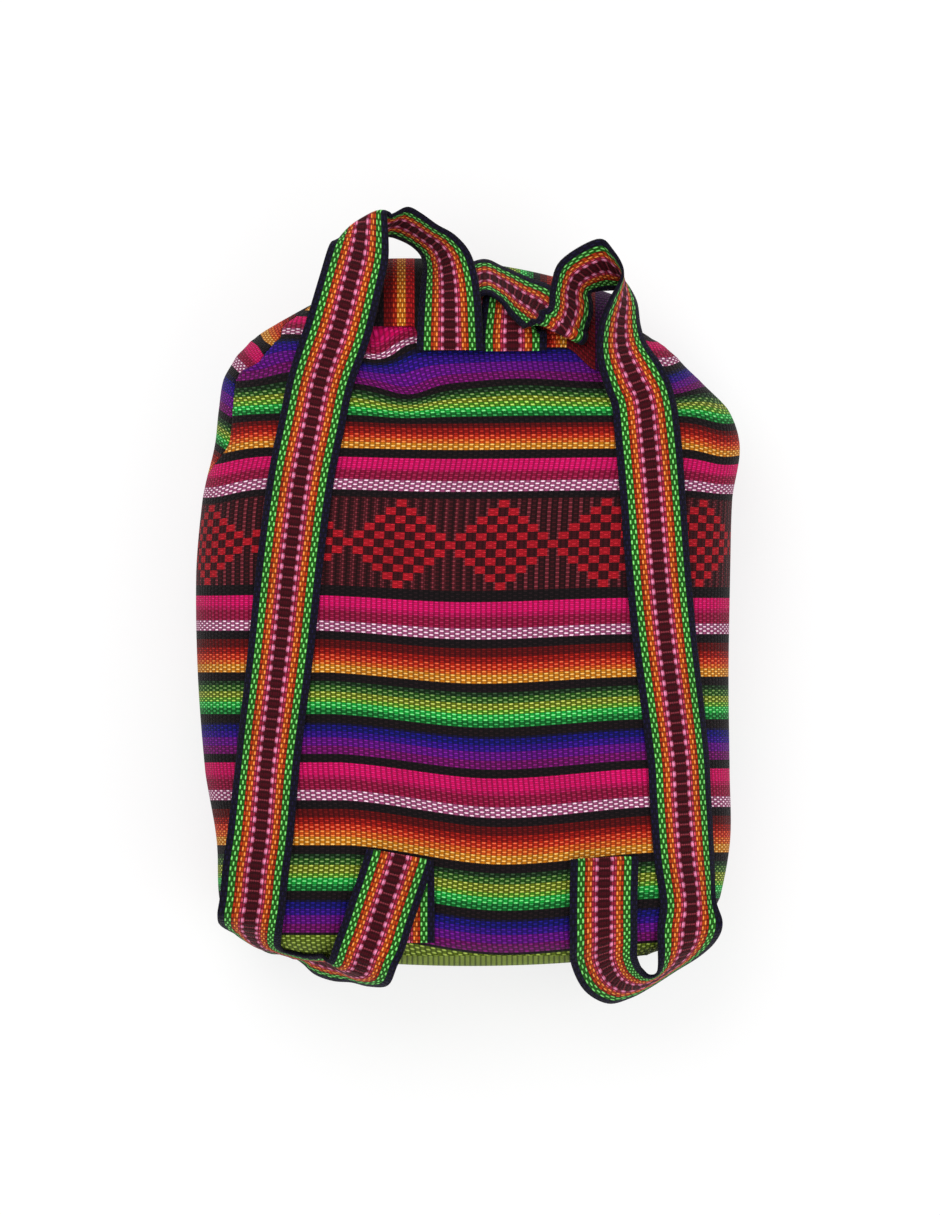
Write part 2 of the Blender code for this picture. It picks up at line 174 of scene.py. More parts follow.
def floorUnder(y):
    start, full = flap["underRamp"]
    flapTop = flap["thickness"] + flap["underGap"]
    return flapTop * smoothStep(flapLow.y - start, flapLow.y - full, y)


def backHeight(x, y):
    halfWidth, shift, halfDepth, power = outlineAt(alongOf(y))
    across = min(abs(x - shift) / halfWidth, bag["edgeLimit"])
    return middleHeight(alongOf(y)) + halfDepth * (1.0 - across**power) ** (1.0 / power)


# At the left shoulder the side seam has rolled onto the back: place in squares down the
# picture, and how many squares inside the outline the seam lies there.
seamRoll = [(300, 0), (322, 10), (340, 26), (360, 27), (374, 13), (440, 15), (478, 0), (960, 0)]


def seamInside(y):
    down = grid["originY"] - y / grid["square"]
    for (start, first), (end, second) in zip(seamRoll, seamRoll[1:]):
        if start <= down <= end:
            return (first + (second - first) * smoothStep(start, end, down)) * grid["square"]
    return 0.0


def roundedSquare(angle, power):  # a place on an outline between a circle and a square
    cosine, sine = math.cos(angle), math.sin(angle)
    across = math.copysign(abs(cosine) ** (2.0 / power), cosine)
    return across, math.copysign(abs(sine) ** (2.0 / power), sine)


def sectionPoints(along, side, rolled=True):
    halfWidth, shift, halfDepth, power = outlineAt(along)
    middle, y = middleHeight(along), yOf(along)
    low = floorUnder(y)
    start = 0.0
    if rolled:
        inside = seamInside(y) / halfWidth
        start = side * math.acos((1.0 - inside) ** (0.5 * power))
    points = []
    for step in range(bag["sectionSteps"] + 1):
        angle = start + (math.pi - start) * step / bag["sectionSteps"]
        across, upward = roundedSquare(angle, power)
        z = middle + side * halfDepth * upward
        points.append(Vector((shift - halfWidth * across, y, max(z, low))))
    return points


def evenPoints(points, count, margin):  # even steps along a line, and how far along each lies
    lengths = [0.0]
    for first, second in zip(points, points[1:]):
        lengths.append(lengths[-1] + (second - first).length)
    spaced, places = [], []
    index = 0
    for step in range(count + 1):
        target = margin + (lengths[-1] - 2.0 * margin) * step / count
        while index < len(points) - 2 and lengths[index + 1] < target:
            index += 1
        span = lengths[index + 1] - lengths[index]
        blend = (target - lengths[index]) / span if span > 0.0 else 0.0
        spaced.append(points[index].lerp(points[index + 1], blend))
        places.append(target)
    return spaced, places


# A grid of faces is laid onto rows of points; cloth holds each point's place in the cloth.
def sheetFromRows(name, table, cloth, thickness, offset, flip=False):
    rows, columns = len(table) - 1, len(table[0]) - 1
    sheet = bmesh.new()
    bmesh.ops.create_grid(sheet, x_segments=columns, y_segments=rows, size=0.5)
    layer = sheet.loops.layers.uv.new("cloth")
    for face in sheet.faces:
        for loop in face.loops:
            column = round((loop.vert.co.x + 0.5) * columns)
            row = round((loop.vert.co.y + 0.5) * rows)
            loop[layer].uv = cloth[row][column]
    for vertex in sheet.verts:
        column = round((vertex.co.x + 0.5) * columns)
        row = round((vertex.co.y + 0.5) * rows)
        vertex.co = table[row][column]
    bmesh.ops.remove_doubles(sheet, verts=sheet.verts, dist=0.000001)
    if flip:
        bmesh.ops.reverse_faces(sheet, faces=sheet.faces)
    mesh = bpy.data.meshes.new(name)
    sheet.to_mesh(mesh)
    sheet.free()
    mesh.shade_smooth()
    piece = bpy.data.objects.new(name, mesh)
    bpy.context.scene.collection.objects.link(piece)
    wall = piece.modifiers.new("wall", "SOLIDIFY")
    wall.thickness = thickness
    wall.offset = offset
    return piece


# Stage 2: folds and slack of the stuffed cloth

folds = {
    "slack": 0.0011,  # depth of the broad unevenness of the stuffing
    "slackSize": 0.055,
    "ripple": 0.00035,
    "rippleSize": 0.016,
    "ripplePlace": (7, 3, 1),  # where in the noise the ripple is taken from
    "seamEdge": (0.01, 0.11),  # shares of a row over which the folds fade in from a seam
    "creaseEdge": 0.03,
    "creaseReach": 0.25,  # how far a crease runs on past its ends, in shares of its length
    "creaseFull": 0.3,
}

# Creases in the back, in squares: depth, the two ends, half the width and a bow downward.
creases = [
    (5.6, (352, 384), (470, 378), 8.0, 13.0),
    (3.4, (226, 371), (300, 364), 6.0, 2.0),
    (3.0, (664, 402), (742, 414), 6.0, -9.0),
    (2.4, (300, 356), (420, 332), 7.0, -4.0),
    (2.0, (236, 462), (300, 440), 9.0, 0.0),
    (1.8, (478, 402), (610, 398), 7.0, 5.0),
    (2.0, (210, 902), (330, 925), 9.0, 6.0),
    (2.0, (560, 930), (716, 900), 9.0, 8.0),
]

# The sag of all stripes, in squares. It deepens from start to full, down the picture. Its
# lowest place lies at middle and drifts to the right on the way down. To the left and right
# of it the stripes lie higher, by a first amount, and by up to a second one more lower down.
sag = {
    "start": 450.0,
    "full": 900.0,
    "middle": 455.0,
    "drift": 50.0,
    "reach": 155.0,
    "roundShare": 0.25,
    "left": (3.0, 17.0),
    "right": (1.5, 11.0),
}

# At the right shoulder, partly under the belt, they lie lower than that.
shoulder = {"depth": 28.0, "left": (612.0, 655.0), "right": (668.0, 715.0), "down": (366.0, 420.0)}

# Where the stripes lie lower than their even places: amount, centre and spread, in squares.
sunken = [
    (25.0, 372, 350, 28, 21),
    (12.0, 403, 388, 28, 22),
    (-11.0, 290, 356, 30, 34),
    (-5.0, 520, 382, 55, 24),
    (10.0, 205, 480, 34, 70),
    (9.0, 728, 440, 26, 60),
]


def gridPlace(x, y):
    return grid["originX"] + x / grid["square"], grid["originY"] - y / grid["square"]


def creaseDepth(x, y):
    squareX, squareY = gridPlace(x, y)
    reach, full = folds["creaseReach"], folds["creaseFull"]
    total = 0.0
    for depth, first, last, wide, bow in creases:
        share = (squareX - first[0]) / (last[0] - first[0])
        if -reach < share < 1.0 + reach:
            level = first[1] + (last[1] - first[1]) * share + 4.0 * bow * share * (1.0 - share)
            fade = smoothStep(-reach, full, share) * smoothStep(-reach, full, 1.0 - share)
            total += depth * fade * math.exp(-(((squareY - level) / wide) ** 2))
    return total * grid["square"]


def stripeSink(x, y):  # how far the stripes have sunk at a place on the back, in metres
    squareX, squareY = gridPlace(x, y)
    low = smoothStep(sag["start"], sag["full"], squareY)
    lowest = sag["middle"] + sag["drift"] * low
    away = min(abs(squareX - lowest) / sag["reach"], 1.0)
    away = sag["roundShare"] * away**2 + (1.0 - sag["roundShare"]) * smoothStep(0.0, 1.0, away)
    first, more = sag["left"] if squareX < lowest else sag["right"]
    sink = -away * (first + more * low)
    for amount, centreX, centreY, wideX, wideY in sunken:
        sink += amount * bump(squareX, squareY, centreX, centreY, wideX, wideY)
    inside = smoothStep(*shoulder["left"], squareX) * (1.0 - smoothStep(*shoulder["right"], squareX))
    sink += shoulder["depth"] * inside * (1.0 - smoothStep(*shoulder["down"], squareY))
    return sink * grid["square"]


def clothDent(x, y, z):  # how far the cloth lies inside the plain form
    spot = Vector((x, y, z))
    dent = folds["slack"] * (0.5 - noise.noise(spot / folds["slackSize"]))
    ripplePlace = spot / folds["rippleSize"] + Vector(folds["ripplePlace"])
    dent += folds["ripple"] * (0.5 - noise.noise(ripplePlace))
    return max(dent, 0.0)


# The rows up to the share called edge lie on the first length of the back, closer together
# towards the base, and those past head lie in the gathered head.
rowShares = {"edge": 0.10, "length": 0.07, "closer": 1.6, "head": 0.80}


def rowPlace(share):
    edge, length, head = rowShares["edge"], rowShares["length"], rowShares["head"]
    if share < edge:
        return length * (share / edge) ** rowShares["closer"]
    if share < head:
        return length + (1.0 - length) * (share - edge) / (head - edge)
    return 1.0 + (share - head) / (1.0 - head)


def lineLength(points):
    return sum((second - first).length for first, second in zip(points, points[1:]))


def panelRows(side):  # points of one half of the bag, and their places in the flat cloth
    table, cloth = [], []
    stripY = None
    previous = None
    for row in range(bag["rows"] + 1):
        along = rowPlace(row / bag["rows"])
        points = sectionPoints(along, side)
        spaced, places = evenPoints(points, bag["columns"], 0.5 * bag["sideGap"])
        rightHalf = 0.5 * lineLength(sectionPoints(along, side, False))
        middlePlace = lineLength(points) - rightHalf
        shift = outlineAt(along)[1]
        centre = Vector((shift, yOf(along), middleHeight(along)))
        gather = bag["pleatDepth"] * smoothStep(bag["pleatsFrom"], bag["pleatsFull"], along)
        line = []
        for column, point in enumerate(spaced):
            u = column / bag["columns"]
            fold = 0.5 - 0.5 * math.cos(2.0 * math.pi * bag["pleats"] * u)
            edge = smoothStep(*folds["seamEdge"], u) * smoothStep(*folds["seamEdge"], 1.0 - u)
            inward = (centre - point).normalized()
            dent = clothDent(point.x, point.y, point.z) * edge
            if side > 0.0:
                inside = smoothStep(0.0, folds["creaseEdge"], min(u, 1.0 - u))
                dent += creaseDepth(point.x, point.y) * inside
            line.append(point + inward * (gather * fold * edge + dent))
        middle = Vector((shift, yOf(along), middleHeight(along) + outlineAt(along)[2]))
        if along <= 1.0:
            stripY = yOf(along) - bag["seamY"]
        else:
            stripY += (middle - previous).length
        previous = middle
        marks = []
        for point, place in zip(spaced, places):
            sink = stripeSink(point.x, point.y) if side > 0.0 else 0.0
            if side < 0.0 and point.x < shift and point.z > middleHeight(along):
                sink = bag["frontLean"] * (point.x - shift + outlineAt(along)[0])
            marks.append((place - middlePlace, stripY + sink))
        table.append(line)
        cloth.append(marks)
    return table, cloth


flap = {
    "left": flapLow.x,
    "right": flapHigh.x,
    "thickness": 0.0016,
    "lift": 0.0006,
    "reach": 0.0092,  # how far it stands out past the mouth
    "centreY": 0.118,
    "centreZ": 0.055,
    "front": flapLow.y,
    "columns": 90,
    "rows": 150,
    "arcShare": 0.66,  # share of its rows over the mouth, the others lie under the bag
    "endDrop": 0.0195,  # its bend falls back to both sides: how far, from where, over what
    "endMiddle": -0.035,
    "endHalf": 0.115,
    "seamUp": 0.0122,
    "seamUpEnd": (-0.0320, -0.0250),
    "seamDown": 0.0140,
    "seamDownStart": (0.0560, 0.0765),
    "seamEase": 0.022,
    "margin": 0.012,  # belts still rest on the flap so far past its sides
    "underRamp": (0.035, 0.008),  # the bag's underside rises here to make room for the flap
    "underGap": 0.0004,
}
flap["rest"] = flap["lift"] + flap["thickness"]


def flapEnd(x):
    reach = bag["baseY"] + bag["length"] + flap["reach"]
    return reach - flap["endDrop"] * ((x - flap["endMiddle"]) / flap["endHalf"]) ** 2


def flapTopHeight(x, y):
    length = flapEnd(x) - flap["centreY"]
    rest = backHeight(x, bag["seamY"]) + flap["rest"]
    seamShare = math.sqrt(1.0 - ((bag["seamY"] - flap["centreY"]) / length) ** 2)
    height = (rest - flap["centreZ"]) / seamShare
    share = min((y - flap["centreY"]) / length, 0.999)
    return flap["centreZ"] + height * math.sqrt(max(1.0 - share * share, 0.0))


def restHeight(x, y):
    y = max(y, bag["baseY"])
    ground = backHeight(x, min(y, bag["seamY"] + bag["restLimit"] * bag["head"]))
    onFlap = min(max(x, flap["left"]), flap["right"])
    if y <= bag["seamY"] or abs(x - onFlap) > flap["margin"]:
        return ground
    return max(ground, flapTopHeight(onFlap, y))


def flapSeam(x):  # where the flap is sewn on: further up at the left, lower at the right
    up = flap["seamUp"] * (1.0 - smoothStep(*flap["seamUpEnd"], x))
    return bag["seamY"] + up - flap["seamDown"] * smoothStep(*flap["seamDownStart"], x)


def flapRise(x, y):
    ground = backHeight(x, flapSeam(x)) + flap["rest"]
    gap = flapTopHeight(x, flapSeam(x)) - ground
    ease = 1.0 - smoothStep(0.0, flap["seamEase"], y - flapSeam(x))
    height = flapTopHeight(x, y) - gap * ease
    if y < bag["seamY"]:
        height = max(height, backHeight(x, y) + flap["rest"])
    return height


def flapRows():
    table, cloth = [], []
    for row in range(flap["rows"] + 1):
        share = row / flap["rows"]
        line, marks = [], []
        for column in range(flap["columns"] + 1):
            x = flap["left"] + (flap["right"] - flap["left"]) * column / flap["columns"]
            length = flapEnd(x) - flap["centreY"]
            if share > flap["arcShare"]:
                run = (share - flap["arcShare"]) / (1.0 - flap["arcShare"])
                y = flap["centreY"] + (flap["front"] - flap["centreY"]) * run
                line.append(Vector((x, y, 0.0)))
            else:
                start = math.asin((flapSeam(x) - flap["centreY"]) / length)
                angle = start + (math.pi - start) * share / flap["arcShare"]
                y = flap["centreY"] + length * math.sin(angle)
                z = flap["centreZ"] * (1.0 + math.cos(angle))
                if angle < 0.5 * math.pi:
                    z = flapRise(x, y)
                line.append(Vector((x, y, z)))
            marks.append((x, 0.0))
        table.append(line)
        cloth.append(marks)
    for row in range(1, len(table)):
        for column in range(flap["columns"] + 1):
            step = (table[row][column] - table[row - 1][column]).length
            cloth[row][column] = (cloth[row][column][0], cloth[row - 1][column][1] + step)
    return table, cloth


base = {"bulge": 0.0062, "inset": 0.0015, "columns": 160, "rows": 20, "flatWidth": 0.20}


def baseRows():
    halfWidth, shift, halfDepth, power = outlineAt(0.0)
    middle = middleHeight(0.0)
    table, cloth = [], []
    for row in range(base["rows"] + 1):
        share = row / base["rows"]
        line, marks = [], []
        for column in range(base["columns"] + 1):
            across, upward = roundedSquare(2.0 * math.pi * column / base["columns"], power)
            x = shift + share * (halfWidth - base["inset"]) * across
            z = middle + share * (halfDepth - base["inset"]) * upward
            line.append(Vector((x, bag["baseY"] - base["bulge"] * (1.0 - share * share), z)))
            marks.append((x, z))
        table.append(line)
        cloth.append(marks)
    return table, cloth


print("stage: bag cloth")
backTable, backCloth = panelRows(1.0)
frontTable, frontCloth = panelRows(-1.0)
backPanel = sheetFromRows("bagBack", backTable, backCloth, bag["cloth"], -1.0)
frontPanel = sheetFromRows("bagFront", frontTable, frontCloth, bag["cloth"], -1.0, True)
baseTable, baseCloth = baseRows()
basePanel = sheetFromRows("bagBase", baseTable, baseCloth, bag["cloth"], -1.0, True)
flapTable, flapCloth = flapRows()
flapSheet = sheetFromRows("bagFlap", flapTable, flapCloth, flap["thickness"], -1.0)


# Stage 3: the woven belts

belt = {
    "width": 0.039,
    "thickness": 0.0016,
    "seamGap": 0.0004,
    "layerGap": 0.0006,
    "columns": 12,
    "stationSteps": 7,
    "drapeSteps": 6,
    "slopeStep": 0.003,
    "steepest": 2.2,
    "foldUp": (0.0, -0.3, 1.0),  # the way that a belt's upper side faces at a fold, roughly
    "foldStep": 15,
    "skewLimit": 0.5,
    "freeLayer": 1.2,  # layers of room that a belt keeps from the bag where it isn't laid on
    "settleRounds": 10,
    "settleReach": 0.010,
    "settleShare": 0.8,
    "evenOut": 0.015,  # how soon the belt's two edges lie level again after a bend
}


def lie(x, y, layer, line=None, rise=0):  # on the bag, so many layers of belt up
    return {"x": x, "y": y, "layer": layer, "line": line, "rise": rise}


def laid(layer, *places):
    return [lie(x, y, layer) for x, y in places]


def hang(x, y, height, tilt):  # off the bag, its left edge lifted by tilt
    return {"x": x, "y": y, "height": height, "line": None, "tilt": tilt, "rise": 0}


def turn(x, y, height, line, tilt, rise=0, bow=0.0):  # off the bag, its width along line
    return {**hang(x, y, height, tilt), "line": line, "rise": rise, "bow": bow}


# Places are squares, heights are shares of the bag's depth and angles are degrees. Where a
# place has a rise, the belt is folded over there, and goes on that many layers higher or
# lower. A bow rounds the fold outward, by so many squares.
leftRoute = [
    [*laid(1, (401, 941), (401, 915), (401, 885)), lie(400, 857, 1, -10, 1)],
    [
        *laid(2, (391, 884), (381, 912), (373, 935)),
        turn(366, 954, 0.885, -20, -4),
        turn(359, 971, 0.80, -24, -16),
        turn(348, 973, 0.70, -30, -42),
        turn(336, 967, 0.62, -42, -50),
        turn(323, 962, 0.57, -60, -52),
        turn(312, 958, 0.54, -78, -62),
        turn(301, 954, 0.53, -80, -76),
        turn(288, 951, 0.53, -100, -86),
        turn(276, 949, 0.55, -160, -76),
        turn(262, 943, 0.61, 161, -50),
        turn(251, 935, 0.71, 161, -22),
        turn(250, 921, 0.82, 168, -10),
        hang(253, 900, 0.85, -9),
        hang(256, 868, 0.875, -8),
        hang(261, 832, 0.89, -9),
        *laid(1, (268, 760), (281, 651), (291, 556), (301, 480), (312, 425), (322, 378)),
        hang(338, 330, 0.84, -10),
        hang(350, 286, 0.83, -19),
        hang(359, 251, 0.80, -28),
        turn(362, 229, 0.76, 30, 36, -2, 9.0),
    ],
    [
        turn(384, 226, 0.70, 44, 52),
        turn(398, 222, 0.67, 52, 58),
        turn(411, 227, 0.66, 50, 61),
        turn(425, 236, 0.67, 42, 62),
        turn(438, 246, 0.69, 33, 55),
        turn(446, 260, 0.73, 20, 44),
        turn(449, 278, 0.79, 8, 34),
        turn(450, 300, 0.85, 0, 25),
        turn(450, 325, 0.89, 0, 17),
        turn(450, 350, 0.905, 0, 8),
    ],
]

rightRoute = [
    [*laid(2, (512, 350), (512, 334)), lie(512, 311, 2, -45, -1)],
    [lie(474, 310, 1), lie(450, 305, 1, 98, 1)],
    [
        turn(481, 278, 0.72, 90, -58),
        turn(501, 284, 0.73, 84, -60),
        turn(520, 297, 0.77, 63, -52),
        turn(537, 307, 0.82, 50, -42),
        turn(549, 319, 0.87, 18, -40),
        turn(556, 331, 0.93, -26, -38, 3),
    ],
    [
        turn(565, 326, 0.94, -45, -42),
        turn(571, 308, 0.90, -12, -50),
        turn(571, 291, 0.87, -8, -54),
        turn(579, 276, 0.84, -40, -46),
        turn(602, 265, 0.79, -78, -40),
        turn(615, 269, 0.78, -80, -54),
        turn(623, 277, 0.765, -88, -83),
        hang(623, 300, 0.78, 112),
        hang(620, 325, 0.81, 126),
        hang(622, 350, 0.845, 138),
        hang(634, 378, 0.88, 155),
        *laid(1, (643, 400), (648, 440), (653, 500), (657, 556), (661, 603), (666, 651)),
        *laid(1, (672, 699), (679, 760), (681, 797), (685, 855), (690, 900)),
        turn(690, 926, 0.79, 6, -14),
        turn(687, 945, 0.73, 10, -30),
        turn(679, 960, 0.66, 13, -52),
        turn(667, 971, 0.60, 8, -74),
        turn(652, 981, 0.56, -110, -80),
        turn(639, 986, 0.57, -129, -65),
        turn(625, 986, 0.62, -137, -44),
        turn(612, 977, 0.70, -156, -25),
        turn(604, 959, 0.80, -173, -8),
        *laid(2, (603, 936), (603, 900)),
        lie(604, 860, 2, 3, -1),
    ],
    laid(1, (603, 885), (603, 910), (603, 930)),
]


def layerLift(layer):
    pitch = belt["thickness"] + belt["layerGap"]
    return belt["seamGap"] + 0.5 * belt["thickness"] + (layer - 1.0) * pitch


def notSteeper(slope):
    return min(max(slope, -belt["steepest"]), belt["steepest"])


def drape(x, y, direction, distance, lift):  # a place some distance off, along the bag
    height = restHeight(x, y)
    stride = abs(distance) / belt["drapeSteps"]
    way = math.copysign(1.0, distance)
    for _ in range(belt["drapeSteps"] if stride > 0.0 else 0):
        ahead = restHeight(x + way * direction.x * stride, y + way * direction.y * stride)
        slope = notSteeper((ahead - height) / stride)
        reach = stride / math.sqrt(1.0 + slope * slope)
        x += way * direction.x * reach
        y += way * direction.y * reach
        height += slope * reach
    step = belt["slopeStep"]
    leanX = notSteeper((restHeight(x + step, y) - restHeight(x - step, y)) / (2.0 * step))
    leanY = notSteeper((restHeight(x, y + step) - restHeight(x, y - step)) / (2.0 * step))
    return Vector((x, y, height)) + Vector((-leanX, -leanY, 1.0)).normalized() * lift


def centreOf(station):
    x, y = gridPoint(station["x"], station["y"])
    if "layer" in station:
        return Vector((x, y, restHeight(x, y) + layerLift(station["layer"])))
    return Vector((x, y, station["height"] * bag["depth"]))


def widthLine(station, heading):  # which way the belt's width runs at a station
    side = Vector((-heading.y, heading.x, 0.0)).normalized()
    tilt = math.radians(station.get("tilt", 0.0))
    if station["line"] is not None:
        line = math.radians(station["line"])
        side = Vector((math.cos(line), math.sin(line), 0.0))
    return side * math.cos(tilt) + Vector((0.0, 0.0, math.sin(tilt)))


def crossRow(station, heading, previous):
    centre = centreOf(station)
    line = widthLine(station, heading)
    if previous is not None and line.dot(previous) < 0.0:
        line = -line
    length = belt["width"]
    if station["rise"] != 0:
        along = line.dot(heading.normalized())
        length /= max(math.sqrt(1.0 - along * along), belt["skewLimit"])
    lift = layerLift(station.get("layer", belt["freeLayer"]))
    row = []
    for column in range(belt["columns"] + 1):
        share = column / belt["columns"]
        distance = length * (share - 0.5)
        point = centre + line * distance
        if "layer" in station:
            point = drape(centre.x, centre.y, line, distance, lift)
        bow = (1.0 - abs(2.0 * share - 1.0) ** 3) * station.get("bow", 0.0) * grid["square"]
        point = point + Vector((heading.x, heading.y, 0.0)).normalized() * bow
        row.append(Vector((*point, lift)))
    return row, line


def legRows(leg, foldIn, previous):
    centres = [centreOf(station) for station in leg]
    rows = []
    if foldIn is not None:
        centres = [foldIn[belt["columns"] // 2].to_3d()] + centres
        rows = [foldIn]
    skip = len(rows)
    for index, station in enumerate(leg):
        before = centres[max(index + skip - 1, 0)]
        after = centres[min(index + skip + 1, len(centres) - 1)]
        if station["rise"] != 0:
            after = centres[index + skip]
        row, previous = crossRow(station, after - before, previous)
        rows.append(row)
    return rows, previous


def betweenRows(rows):
    smooth = []
    last = len(rows) - 1
    for index in range(last):
        before = rows[max(index - 1, 0)]
        after = rows[min(index + 2, last)]
        for step in range(belt["stationSteps"]):
            share = step / belt["stationSteps"]
            tracks = zip(before, rows[index], rows[index + 1], after)
            smooth.append([spline(a, b, c, d, share) for a, b, c, d in tracks])
    smooth.append(rows[-1])
    return smooth


def foldRows(row, heading, rise):  # half a circle, to the layer above or below
    line = (row[-1] - row[0]).to_3d()
    normal = line.cross(heading).normalized()
    if normal.dot(Vector(belt["foldUp"])) < 0.0:
        normal = -normal
    outward = normal.cross(line).normalized()
    if outward.dot(heading) < 0.0:
        outward = -outward
    bent = []
    for angle in range(belt["foldStep"], 180 + 1, belt["foldStep"]):
        turned = math.radians(angle)
        climb = 0.5 * rise * (1.0 - math.cos(turned))
        shift = outward * (0.5 * abs(rise) * math.sin(turned)) + normal * climb
        bent.append([point + Vector((*shift, max(climb, 0.0))) for point in row])
    return bent


def beltRows(route):
    rows = []
    foldIn = None
    direction = None
    for leg in route:
        stations, direction = legRows(leg, foldIn, direction)
        smooth = betweenRows(stations)
        rows += smooth if foldIn is None else smooth[1:]
        if leg[-1]["rise"] == 0:
            break
        middle = belt["columns"] // 2
        heading = (stations[-1][middle] - stations[-2][middle]).to_3d()
        rise = leg[-1]["rise"] * (belt["thickness"] + belt["layerGap"])
        bent = foldRows(stations[-1], heading, rise)
        rows += bent
        foldIn = bent[-1]
    return rows


def surfaceTree(sheets):
    points, faces = [], []
    for sheet in sheets:
        first = len(points)
        points += [vertex.co.copy() for vertex in sheet.data.vertices]
        for face in sheet.data.polygons:
            faces.append([first + corner for corner in face.vertices])
    return BVHTree.FromPolygons(points, faces)


def settle(rows, tree):  # moves a belt's points off the bag until each of them clears it
    for _ in range(belt["settleRounds"]):
        for row in rows:
            for column, spot in enumerate(row):
                point = spot.to_3d()
                location, normal, _, distance = tree.find_nearest(point)
                if distance > belt["settleReach"]:
                    continue
                if (point - location).dot(normal) < 0.0:
                    distance = -distance
                lack = spot.w - distance
                if lack > 0.0:
                    row[column] = spot + Vector((*(belt["settleShare"] * lack * normal), 0.0))
    return [[point.to_3d() for point in row] for row in rows]


def makeBelt(name, route, tree):
    table = settle(beltRows(route), tree)
    middle = belt["columns"] // 2
    marks = [0.0] * (belt["columns"] + 1)
    cloth = []
    for row, line in enumerate(table):
        if row > 0:
            steps = [(here - there).length for here, there in zip(line, table[row - 1])]
            marks = [mark + step for mark, step in zip(marks, steps)]
            ease = math.exp(-steps[middle] / belt["evenOut"])
            marks = [marks[middle] + (mark - marks[middle]) * ease for mark in marks]
        places = [(column / belt["columns"] - 0.5) * belt["width"] for column in range(len(line))]
        cloth.append(list(zip(places, marks)))
    print("belt length", name, round(marks[middle], 4))
    return sheetFromRows(name, table, cloth, belt["thickness"], 0.0)


print("stage: belts")
bagTree = surfaceTree([backPanel, frontPanel, basePanel, flapSheet])
leftBelt = makeBelt("beltLeft", leftRoute, bagTree)
rightBelt = makeBelt("beltRight", rightRoute, bagTree)


# Stage 4: finishes

def linear(colour):  # from screen values 0 to 255 to the shader's linear values
    parts = []
    for value in colour:
        share = value / 255.0
        parts.append(share / 12.92 if share <= 0.04045 else ((share + 0.055) / 1.055) ** 2.4)
    return (*parts, 1.0)


class Graph:  # short ways to add nodes to one material or group
    def __init__(self, tree):
        self.tree = tree

    def add(self, kind, **values):
        node = self.tree.nodes.new(kind)
        for key, value in values.items():
            setattr(node, key, value)
        return node

    def feed(self, socket, value):
        if isinstance(value, (int, float, tuple)):
            socket.default_value = value
        else:
            self.tree.links.new(value, socket)

    def math(self, operation, first, second=None, third=None):
        node = self.add("ShaderNodeMath", operation=operation)
        self.feed(node.inputs[0], first)
        if second is not None:
            self.feed(node.inputs[1], second)
        if third is not None:
            self.feed(node.inputs[2], third)
        return node.outputs[0]

    def times(self, first, second):
        return self.math("MULTIPLY", first, second)

    def mix(self, share, first, second, blend="MIX"):
        node = self.add("ShaderNodeMix", data_type="RGBA", blend_type=blend)
        self.feed(node.inputs[0], share)
        self.feed(node.inputs[6], first)
        self.feed(node.inputs[7], second)
        return node.outputs[2]

    def between(self, value, low, high):
        node = self.add("ShaderNodeMapRange", interpolation_type="SMOOTHSTEP")
        self.feed(node.inputs[0], value)
        node.inputs[1].default_value = low
        node.inputs[2].default_value = high
        return node.outputs[0]

    def ramp(self, value, stops, interpolation="CONSTANT"):
        node = self.add("ShaderNodeValToRGB")
        node.color_ramp.interpolation = interpolation
        elements = node.color_ramp.elements
        while len(elements) > 1:
            elements.remove(elements[-1])
        elements[0].position = stops[0][0]
        elements[0].color = stops[0][1]
        for place, colour in stops[1:]:
            elements.new(place).color = colour
        self.feed(node.inputs[0], value)
        return node.outputs[0]


threads = {
    "rib": 0.00305,
    "thread": 0.00128,
    "overEnds": (-0.1, 0.55),  # where the mask of a thread that lies over starts and is full
    "overSides": (0.15, 0.7),
    "overHeight": 0.6,
    "underHeight": 0.4,
    # gapEdge, gapShade and sideShade set painted shade in the gaps between ribs and at thread sides.
    "gapEdge": (0.55, 1.0),
    "gapShade": 0.45,
    "sideShade": 0.3,
}
